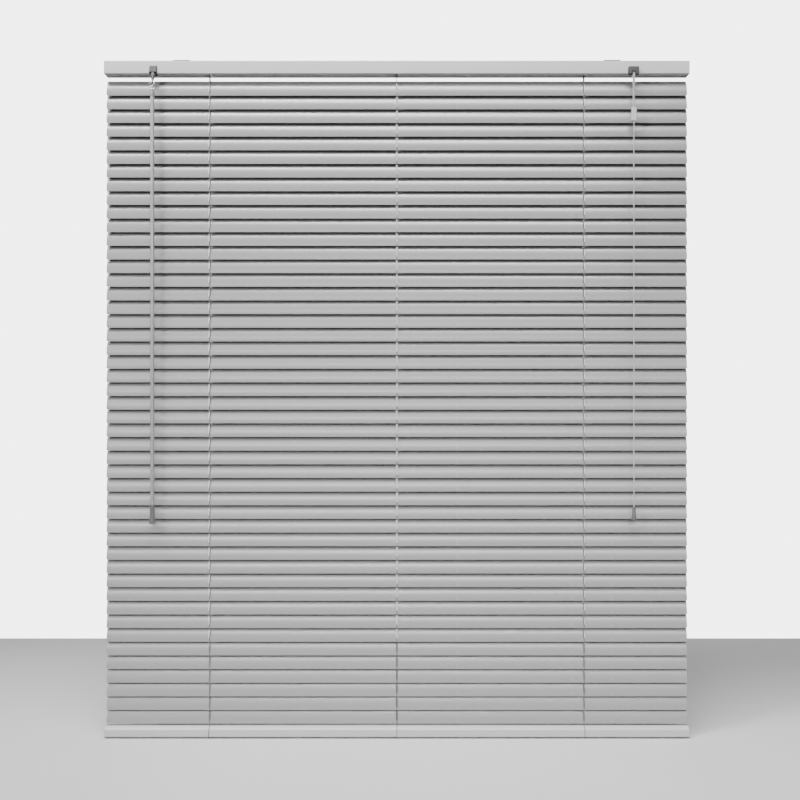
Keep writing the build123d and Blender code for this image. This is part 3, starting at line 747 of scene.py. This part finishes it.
# Wand hook: a bent wire S through the stem's eye and the wand's eye
middle = (HOOK_TOP_Z + WAND_EYE_Z) / 2
hook = cord_curve(
    "hook_wire",
    [
        [
            (WAND_X - HOOK_HALF, WAND_Y, HOOK_TOP_Z - 3.0),
            (WAND_X - HOOK_HALF, WAND_Y, HOOK_TOP_Z - 1.6),
            (WAND_X - HOOK_HALF, WAND_Y, HOOK_TOP_Z),
            (WAND_X - 0.9, WAND_Y, HOOK_TOP_Z),
            (WAND_X + 0.9, WAND_Y, HOOK_TOP_Z),
            (WAND_X + HOOK_HALF, WAND_Y, HOOK_TOP_Z),
            (WAND_X + HOOK_HALF, WAND_Y, middle + 2.6),
            (WAND_X + HOOK_HALF, WAND_Y, middle + 1.2),
            (WAND_X + 1.2, WAND_Y, middle + 0.5),
            (WAND_X - 1.2, WAND_Y, middle - 0.5),
            (WAND_X - HOOK_HALF, WAND_Y, middle - 1.2),
            (WAND_X - HOOK_HALF, WAND_Y, middle - 2.6),
            (WAND_X - HOOK_HALF, WAND_Y, WAND_EYE_Z),
            (WAND_X - 0.9, WAND_Y, WAND_EYE_Z),
            (WAND_X + 0.9, WAND_Y, WAND_EYE_Z),
            (WAND_X + HOOK_HALF, WAND_Y, WAND_EYE_Z),
            (WAND_X + HOOK_HALF, WAND_Y, WAND_EYE_Z + 1.6),
            (WAND_X + HOOK_HALF, WAND_Y, WAND_EYE_Z + 3.0),
        ]
    ],
    HOOK_WIRE_RADIUS,
)
place_piece(hook, "wand_hook", "wand_hook", bright_wire)

# The tilter's stem, the headrail and what it holds are the frame's own solids, most with
# their edges softened. A solid is told from its neighbours by its size and place.
for solid in node_pieces("tilt_worm"):
    place_piece(
        node_piece("worm_stem_moulding", solid, 0.0),
        "worm_stem",
        "tilt_worm",
        dark_plastic,
    )

drum_names = iter(("drum_left", "drum_middle", "drum_right"))
for solid in node_pieces("tilt_rod_and_drums"):
    xs = [v[0] for v in solid[1]]
    centre_x = solid[0][0] / MM
    if max(xs) - min(xs) > 0.3:
        name, material, width = "tilt_rod", drawn_steel, 0.2
    elif abs(centre_x - WAND_X) < FITTING_REACH:
        name, material, width = "worm_wheel", pale_plastic, 0.0
    else:
        name, material, width = next(drum_names), pale_plastic, 0.2
    place_piece(
        node_piece(name, solid, width),
        "tilt_shaft",
        "tilt_rod_and_drums",
        material,
    )

cradle_names = iter(("cradle_left", "cradle_middle", "cradle_right"))
for solid in node_pieces("headrail_fittings"):
    xs = [v[0] / MM for v in solid[1]]
    ys = [v[1] / MM for v in solid[1]]
    centre_x = solid[0][0] / MM
    if abs(centre_x) > CAP_X:
        side = "left" if centre_x < 0 else "right"
        name, material, width = f"headrail_cap_{side}", rail_enamel, 0.25
    elif abs(centre_x - WAND_X) < FITTING_REACH:
        name, material, width = "tilter_housing", grey_plastic, 0.25
    elif abs(centre_x - PULL_X) < FITTING_REACH:
        roller = max(ys) - min(ys) < 6
        name = "lock_roller" if roller else "cord_lock_housing"
        material = drawn_steel if roller else grey_plastic
        width = 0.2
    else:
        name, material, width = next(cradle_names), pale_plastic, 0.2
    place_piece(
        node_piece(name, solid, width),
        ROOT,
        "headrail_fittings",
        material,
    )

for solid, side in zip(node_pieces("mounting_brackets"), ("left", "right")):
    place_piece(
        node_piece(f"mounting_bracket_{side}", solid, 0.2),
        ROOT,
        "mounting_brackets",
        plated_steel,
    )

for solid in node_pieces("headrail"):
    place_piece(
        node_piece("headrail_channel", solid, 0.0),
        ROOT,
        "headrail",
        rail_enamel,
    )

plug_names = iter(("cord_plug_left", "cord_plug_middle", "cord_plug_right"))
# The bottom rail's body and end caps take a darker tone of the one enamel: painted shade on
# its upturned crown.
for solid in node_pieces("bottom_rail"):
    xs = [v[0] / MM for v in solid[1]]
    centre_x = solid[0][0] / MM
    if max(xs) - min(xs) > 100:
        name, material, width = "bottom_rail_body", bottom_rail_enamel_painted_shade, 0.0
    elif abs(centre_x) > CAP_X:
        side = "left" if centre_x < 0 else "right"
        name, material, width = f"bottom_rail_cap_{side}", bottom_rail_enamel_painted_shade, 0.3
    else:
        name, material, width = next(plug_names), milky_plastic, 0.3
    place_piece(
        node_piece(name, solid, width), ROOT, "bottom_rail", material
    )

# Stage: a pale floor just below the rail, soft lights in front and one behind, and a
# surround that looks pale but lights the blind only a little
floor_z = cad_box[0][2] - FLOOR_GAP * MM
bpy.ops.mesh.primitive_plane_add(size=2.6, location=(0, -0.5, floor_z))
floor = bpy.context.object
floor.name = "floor"
floor_material, floor_shader = new_material("floor_paint", (0.62, 0.62, 0.62), 0.7)
floor_noise = add_noise(floor_material, 3.0, 4.0)
vary_colour(floor_material, floor_shader, floor_noise, (0.6,) * 3, (0.62,) * 3)
floor.data.materials.append(floor_material)


def add_softbox(name, place, target, size, power, spread):
    light = bpy.data.lights.new(name, "AREA")
    light.shape = "RECTANGLE"
    light.size, light.size_y = size
    light.energy = power
    light.spread = math.radians(spread)
    lamp = bpy.data.objects.new(name, light)
    bpy.context.collection.objects.link(lamp)
    lamp.location = place
    aim = Vector(target) - Vector(place)
    lamp.rotation_euler = aim.to_track_quat("-Z", "Y").to_euler()
    return lamp


add_softbox("softbox_top", (-0.3, -0.95, 1.3), (0, 0, -0.5), (2.2, 0.4), 27.0, 80)
add_softbox("softbox_low", (0.0, -1.6, 0.12), (0, 0, -0.95), (2.2, 0.2), 3.6, 50)
add_softbox("softbox_left", (-1.5, -1.5, 0.7), (0, 0, -0.5), (0.4, 0.5), 6.0, 80)
add_softbox("softbox_right", (1.6, -1.6, 0.7), (0, 0, -0.5), (0.4, 0.5), 2.2, 80)
back_light = add_softbox("softbox_back", (0, 2.2, 0.4), (0, 0, -0.5), (1.2, 0.6), 2.5, 70)
back_light.visible_camera = False

world = bpy.data.worlds.new("surround")
bpy.context.scene.world = world
world.use_nodes = True
nodes, links = world.node_tree.nodes, world.node_tree.links
backdrop = nodes["Background"]
backdrop.inputs["Color"].default_value = (1.0, 1.0, 1.0, 1.0)
backdrop.inputs["Strength"].default_value = 0.02
seen = nodes.new("ShaderNodeBackground")
seen.inputs["Color"].default_value = (0.85, 0.85, 0.85, 1.0)
seen.inputs["Strength"].default_value = 6.0
path = nodes.new("ShaderNodeLightPath")
mix = nodes.new("ShaderNodeMixShader")
links.new(path.outputs["Is Camera Ray"], mix.inputs["Fac"])
links.new(backdrop.outputs["Background"], mix.inputs[1])
links.new(seen.outputs["Background"], mix.inputs[2])
links.new(mix.outputs["Shader"], nodes["World Output"].inputs["Surface"])

camera_data = bpy.data.cameras.new("camera")
camera_data.lens = 53.09
camera_data.sensor_width = 36.0
camera_data.shift_x = 0.004
camera_data.shift_y = 0.0178
camera = bpy.data.objects.new("camera", camera_data)
bpy.context.collection.objects.link(camera)
camera.location = (0.0, -1.8185, -0.5428)
camera.rotation_euler = (math.radians(90), 0, 0)
bpy.context.scene.camera = camera
